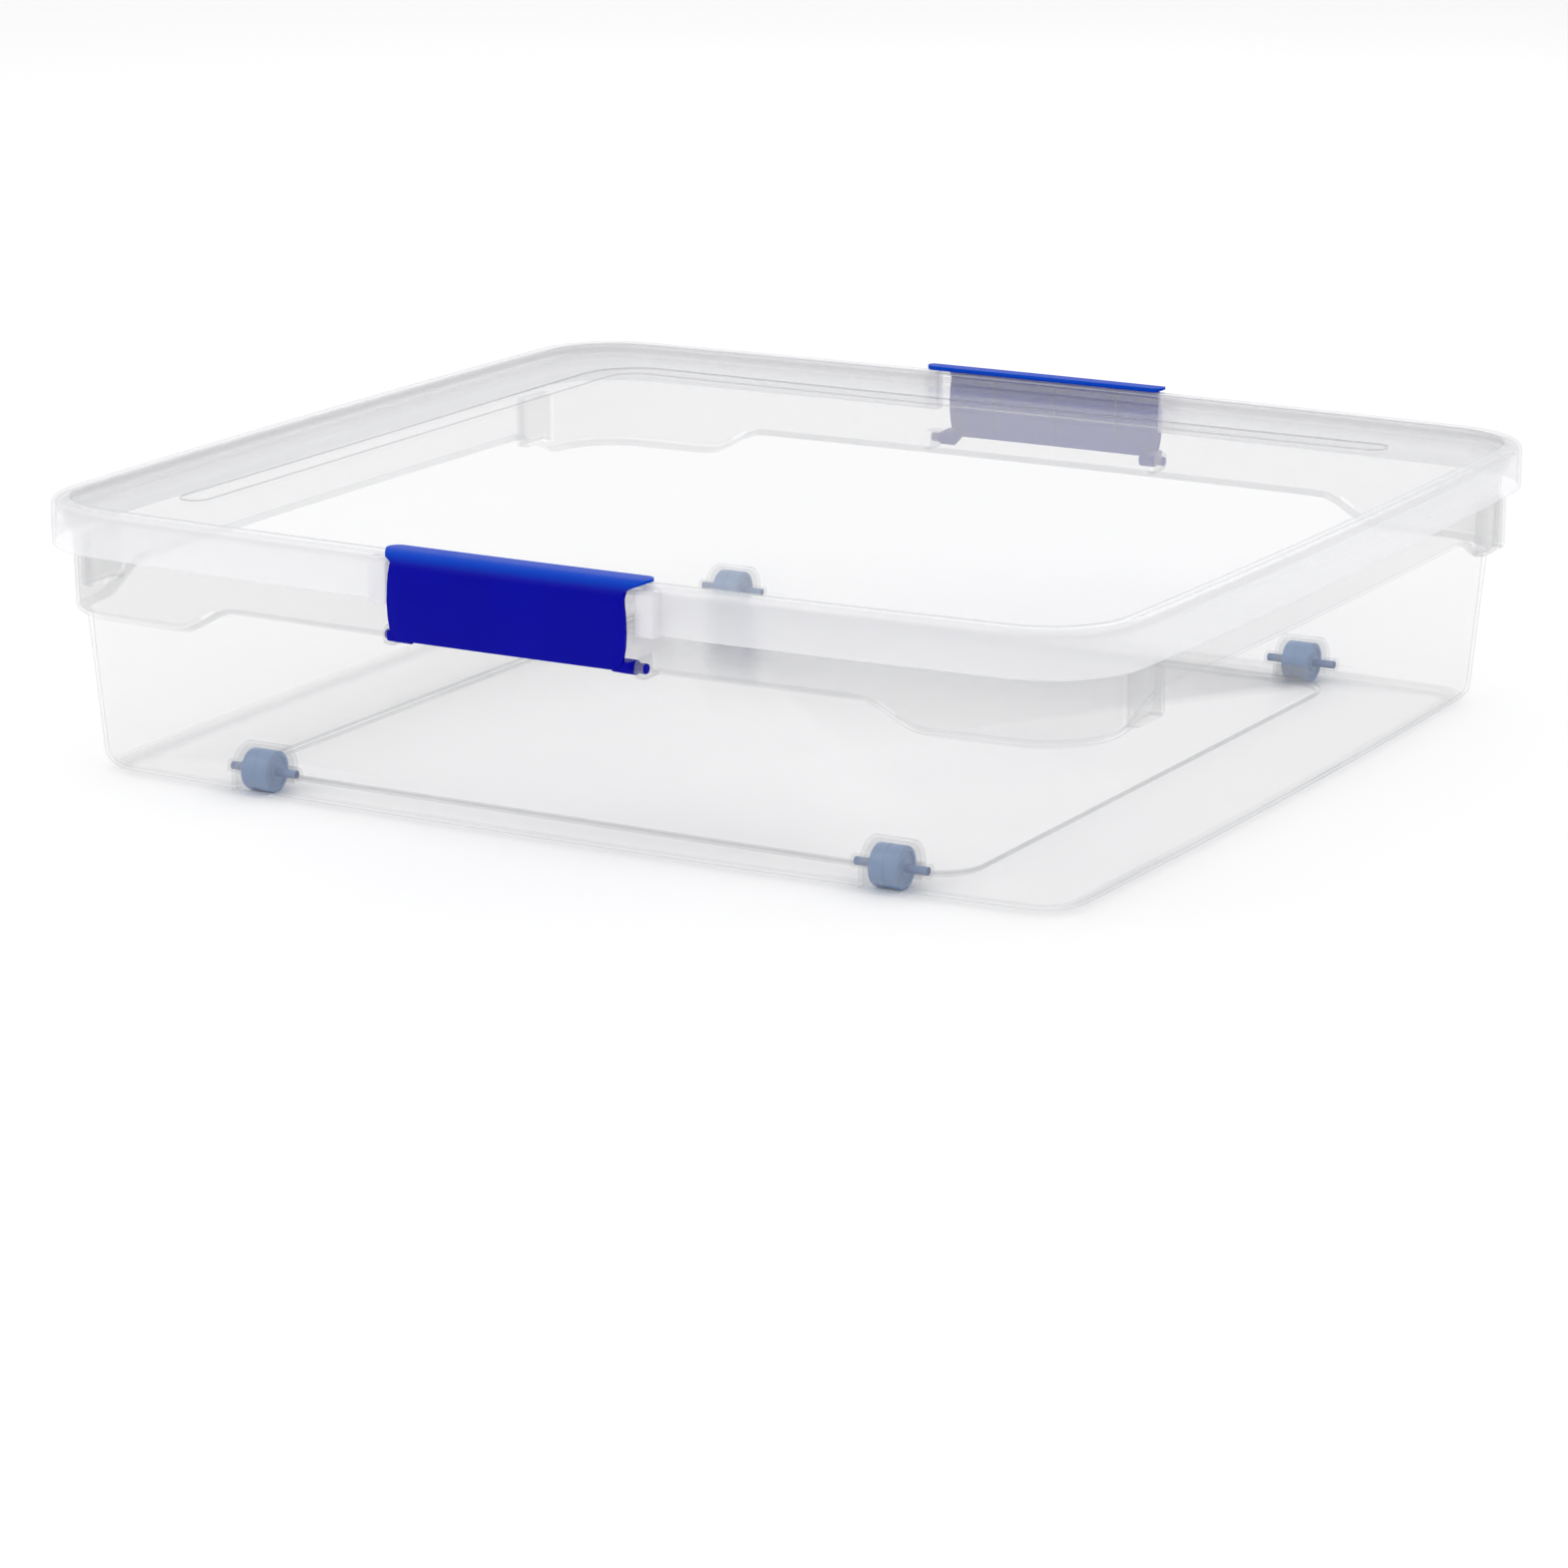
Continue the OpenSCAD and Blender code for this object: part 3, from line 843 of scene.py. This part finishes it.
def add_cheeks(lid):
    """Adds the hollow blocks beside the latches, after the skirt is cut away for the latch."""
    top = shape().height
    for sy in (-1, 1):
        edge = side_y(NOTCH_HALF) + 0.053
        far = edge + 0.030
        ends = sorted((sy * edge, sy * far))
        low, high = top - 0.029, top - 0.002
        section = [(ends[0], low), (ends[1], low), (ends[1], high), (ends[0], high)]
        notch = prism("latch_notch", section, -NOTCH_HALF, NOTCH_HALF)
        cut(lid, notch)
    for sy in (-1, 1):
        for sx in (-1, 1):
            near, far = side_y(0.088) + 0.0583, side_y(0) + 0.0670
            low, high = top - 0.028, top - 0.002
            rim = [(sy * y, z) for y, z in arc(far - 0.005, high - 0.005, 0.005, 0, 90, 6)]
            section = [(sy * near, low), (sy * far, low)] + rim + [(sy * near, high)]
            block = prism("cheek", section, *sorted((sx * 0.082, sx * 0.094)))
            round_edges(block, 0.0007, 60, 2)
            y0, y1, z0, z1 = sy * (near - 0.001), sy * (far - 0.002), low - 0.001, high - 0.003
            opening = [(y0, z0), (y1, z0), (y1, z1), (y0, z1)]
            hollow = prism("cheek_hollow", opening, *sorted((sx * 0.084, sx * 0.092)))
            cut(block, hollow)
            cut(lid, block, "UNION")


def lid_step_shade(at, normal, radius):
    """How much painted grey shade line a lid face shows: the rim band's inner edges and the groove's sides.
    """
    if radius < 0.0436:
        return finish().line if abs(normal.z) < 0.6 else 0.0
    on_line = radius < 0.0454 or 0.0478 < radius < 0.0496
    return finish().line * 0.8 if on_line and normal.z > 0 else 0.0


class BuildLid(bpy.types.Operator):
    """Moulds the clear lid: recessed panel, raised rim, skirt, L-shaped groove and latch cheeks"""

    bl_idname = "storage_box.lid"
    bl_label = "Build Lid"

    def execute(self, context):
        ring = stations()
        top = shape().height
        lid = loft("clear_lid", len(ring), lid_rows(), lid_place(ring))
        add_cheeks(lid)
        groove = plate("groove", groove_points(), top - 0.0072, top - 0.004)
        cut(lid, groove)
        smooth_shade(lid, 32)
        mark_faces(lid, "frosted", lambda at, normal, radius: float(radius > 0.0498))
        # Stores the lid's painted grey shade lines for the material.
        mark_faces(lid, "painted_step_shade", lid_step_shade)
        look = finish()
        dress(lid, clear_plastic("Clear lid plastic", look.clear_face, look.lid_haze, look.frost))
        mount(lid, "lid", "lid_clear", "lid")
        return {"FINISHED"}


# ---- latches ---------------------------------------------------------------------


def bow_in(y, x):
    """Moves a front-side point in by the bow of the latch side at x."""
    return y + (side_y(0) - side_y(x))


def rounded_block(name, waist, tip, low, high):
    """A latch's outline from the front: rounded lower corners, a slight bulge and a lip with two tips."""
    radius, flare = 0.008, 0.0045
    points = arc(waist - radius, low + radius, radius, -90, 0, 6)
    points += [(waist + 0.0009, low + 0.013), (waist + 0.0014, low + 0.022)]
    points += [(waist + 0.0009, high - 0.018), (waist, high - 0.010)]
    for i in range(7):
        t = i / 6
        points.append((waist + (tip - waist) * t**1.4, high - 0.006 + flare * t))
    points.append((tip, high + 0.010))
    points += [(-x, z) for x, z in reversed(points)]
    near, far = -(side_y(0) + 0.100), -(side_y(0) + 0.020)

    def place(y, i):
        return Vector((points[i][0], y, points[i][1]))

    return loft(name, len(points), [near, far], place)


def flared_plan(name, waist, tip, hook, face):
    """A latch's outline from above: it widens from its face back to its hook, whose two ends are rounded."""
    radius = 0.007
    front = waist + 0.0016
    points = [(front, -face - 0.020), (front, -face + 0.002)]
    for i in range(1, 7):
        t = i / 6
        points.append((front + (tip - front) * t, -face + 0.002 + (face - hook - 0.010) * t**1.5))
    points += arc(tip - radius, -hook - radius, radius, 5, 90, 8)
    points += [(-x, y) for x, y in reversed(points)]
    return plate(name, points, 0.100, 0.200)


def build_latch(name):
    """One front latch: a bowed channel with a rolled lip, end lugs and pivot studs."""
    face = side_y(0) + FACE_OUT
    wall = 0.0025
    top = LATCH_TOP
    low = 0.1208
    roll = 0.013
    outer = [(-face, low + 0.0013), (-face, top - roll)]
    outer += [(-y, z) for y, z in arc(face - roll, top - roll, roll, 0, 90, 12)]
    hook = side_y(0) + HOOK_OUT
    inner = [(-y, z) for y, z in arc(face - roll, top - roll, roll - wall, 90, 0, 10)]
    section = outer + [(-hook - 0.0006, top), (-hook, top - 0.0008), (-hook, top - wall)] + inner
    section += [(-face + wall, low + 0.0013), (-face + wall * 0.75, low), (-face + wall * 0.25, low)]
    steps = 20
    body = prism(name, section, -0.087, 0.087, steps)
    for vert in body.data.vertices:
        vert.co.y = bow_in(vert.co.y, vert.co.x)
    cut(body, rounded_block("latch_outline", 0.0770, 0.0870, low, top), "INTERSECT")
    cut(body, flared_plan("latch_plan", 0.0770, 0.0871, hook, face), "INTERSECT")
    round_edges(body, shape().edge, 40, 3)
    parts = [body]
    pivot_y, pivot_z = -(side_y(0) + PIVOT_OUT), PIVOT_Z
    for sx in (-1, 1):
        lug = arc(pivot_y, pivot_z, 0.0044, 90, -90, 12)
        lug += [(pivot_y - 0.0105, pivot_z - 0.0010), (pivot_y - 0.0105, pivot_z + 0.0050)]
        lug_piece = prism("lug", lug, *sorted((sx * 0.0690, sx * 0.0794)))
        round_edges(lug_piece, 0.0006, 50, 2)
        stud = prism("stud", arc(pivot_y, pivot_z, 0.003, 0, 345, 23), *sorted((sx * 0.078, sx * 0.086)))
        round_edges(stud, 0.0005, 50, 2)
        cut(lug_piece, stud, "UNION")
        parts.append(lug_piece)
    for x in (-0.045, 0.0, 0.045):
        section = [(-face + 0.0020, 0.124), (-face + 0.0020, 0.160)]
        section += [(-face + 0.0052, 0.160), (-face + 0.0036, 0.124)]
        rib = prism("rib", section, x - 0.0008, x + 0.0008)
        for vert in rib.data.vertices:
            vert.co.y = bow_in(vert.co.y, vert.co.x)
        parts.append(rib)
    latch = join(parts, name)
    smooth_shade(latch, 35)
    return latch


class BuildLatches(bpy.types.Operator):
    """Moulds the two solid blue latches with their lugs, studs and inner ribs"""

    bl_idname = "storage_box.latches"
    bl_label = "Build Latches"

    def execute(self, context):
        # The latches' lips get a lighter blue towards the top: a painted highlight.
        blue = solid_plastic("Royal blue plastic", finish().latch_blue, 0.38, 0.12, 0.10,
                             finish().lip_highlight_blue, LATCH_TOP - 0.007, LATCH_TOP)
        front = build_latch("front_latch")
        rear = turned(front, "rear_latch")
        for latch in (front, rear):
            dress(latch, blue)
        mount(front, "latch_front", "latch_blue", "latch_front")
        mount(rear, "latch_rear", "latch_blue", "latch_rear")
        return {"FINISHED"}


# ---- rollers ---------------------------------------------------------------------


def wheel_rows():
    """A roller's section as (x, radius) rows, from one end of the bore round to itself."""
    half = (WHEEL_BOX[1].x - WHEEL_BOX[0].x) / 2
    tread = (WHEEL_BOX[1].z - WHEEL_BOX[0].z) / 2
    side = [(half, 0.0026), (half, 0.0050), (half - 0.0010, 0.0056), (half - 0.0010, tread - 0.0034),
            (half, tread - 0.0028), (half, tread - 0.0010), (half - 0.0003, tread - 0.0003),
            (half - 0.0010, tread)]
    middle = [(0.0012, tread), (0.0006, tread - 0.0004), (-0.0006, tread - 0.0004), (-0.0012, tread)]
    return side + middle + [(-x, r) for x, r in reversed(side)] + [side[0]]


class BuildRollers(bpy.types.Operator):
    """Turns the four blue rollers and gives the axle pins their plastic"""

    bl_idname = "storage_box.rollers"
    bl_label = "Build Rollers"

    def execute(self, context):
        blue = solid_plastic("Roller blue plastic", finish().wheel_blue, 0.34, 0.2)
        pin = solid_plastic("Pin plastic", finish().pin_blue, 0.38, 0.15)
        steps = 48
        for key in WHEELS:
            at = roller_place(key)

            def place(row, i, at=at):
                angle = 2 * math.pi * i / steps
                return at + Vector((row[0], row[1] * math.cos(angle), row[1] * math.sin(angle)))

            wheel = loft("roller_" + key, steps, wheel_rows(), place, (False, False))
            smooth_shade(wheel, 30)
            dress(wheel, blue)
            mount(wheel, "wheel_" + key, "wheel_blue", "wheel_" + key)
            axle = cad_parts["axle_" + key]
            dress(axle, pin)
        return {"FINISHED"}


# ---- stage -----------------------------------------------------------------------


def area_light(name, place, aim, size, power):
    """A soft rectangular lamp at a place, turned to its aim."""
    data = bpy.data.lights.new(name, "AREA")
    data.shape = "RECTANGLE"
    data.size, data.size_y = size
    data.energy = power
    lamp = bpy.data.objects.new(name, data)
    bpy.context.scene.collection.objects.link(lamp)
    lamp.location = place
    lamp.rotation_euler = (Vector(aim) - Vector(place)).to_track_quat("-Z", "Y").to_euler()


class BuildStage(bpy.types.Operator):
    """Sets the pale floor, the soft lights, the surroundings and the camera"""

    bl_idname = "storage_box.stage"
    bl_label = "Build Stage"

    def execute(self, context):
        scene = context.scene
        deselect()
        bpy.ops.mesh.primitive_plane_add(size=16.0, location=(0, 0, 0))
        floor = context.object
        floor.name = "studio_floor"
        paper = bpy.data.materials.new("Studio paper")
        paper.use_nodes = True
        shader = paper.node_tree.nodes["Principled BSDF"]
        shader.inputs["Base Color"].default_value = (0.94, 0.94, 0.945, 1.0)
        shader.inputs["Roughness"].default_value = 0.9
        dress(floor, paper)
        world = bpy.data.worlds.new("Studio surroundings")
        world.use_nodes = True
        sky = world.node_tree.nodes["Background"]
        sky.inputs["Color"].default_value = (1.0, 1.0, 1.0, 1.0)
        sky.inputs["Strength"].default_value = 0.98
        scene.world = world
        area_light("key", (-1.6, -2.0, 2.6), (0, 0, 0.1), (1.8, 1.8), 14)
        area_light("fill", (2.6, -1.0, 1.8), (0, 0, 0.1), (1.6, 1.6), 5)
        area_light("back", (-0.6, 2.8, 2.0), (0, 0, 0.1), (2.4, 1.0), 10)
        data = bpy.data.cameras.new("studio_camera")
        data.lens = 120.66
        data.sensor_width = 36.0
        data.clip_end = 60.0
        camera = bpy.data.objects.new("studio_camera", data)
        scene.collection.objects.link(camera)
        camera.location = (1.5386, -2.7429, 0.8091)
        camera.rotation_euler = (math.radians(90 - 14.987), 0.0, math.radians(29.517))
        scene.camera = camera
        scene.cycles.transparent_max_bounces = CLEAR_LAYERS
        scene.view_settings.view_transform = "Standard"
        return {"FINISHED"}


# ---- panel and registration ------------------------------------------------------


class StorageBoxPanel(bpy.types.Panel):
    """Lists the storage box's settings and build steps"""

    bl_idname = "VIEW3D_PT_storage_box"
    bl_label = "Storage Box"
    bl_space_type = "VIEW_3D"
    bl_region_type = "UI"
    bl_category = "Storage Box"

    def draw(self, context):
        layout = self.layout
        for group in (context.scene.storage_box_shape, context.scene.storage_box_finish):
            column = layout.column(align=True)
            for name in group.bl_rna.properties.keys():
                if name not in ("rna_type", "name"):
                    column.prop(group, name)
        for step in STEPS:
            layout.operator(step.bl_idname)


STEPS = (BuildTub, BuildLid, BuildLatches, BuildRollers, BuildStage)
CLASSES = (BoxShape, BoxFinish) + STEPS + (StorageBoxPanel,)


def register():
    for cls in CLASSES:
        bpy.utils.register_class(cls)
    bpy.types.Scene.storage_box_shape = bpy.props.PointerProperty(type=BoxShape)
    bpy.types.Scene.storage_box_finish = bpy.props.PointerProperty(type=BoxFinish)


def unregister():
    del bpy.types.Scene.storage_box_finish
    del bpy.types.Scene.storage_box_shape
    for cls in reversed(CLASSES):
        bpy.utils.unregister_class(cls)


def main():
    register()
    bpy.ops.storage_box.tub()
    bpy.ops.storage_box.lid()
    bpy.ops.storage_box.latches()
    bpy.ops.storage_box.rollers()
    bpy.ops.storage_box.stage()


if __name__ == "__main__":
    main()
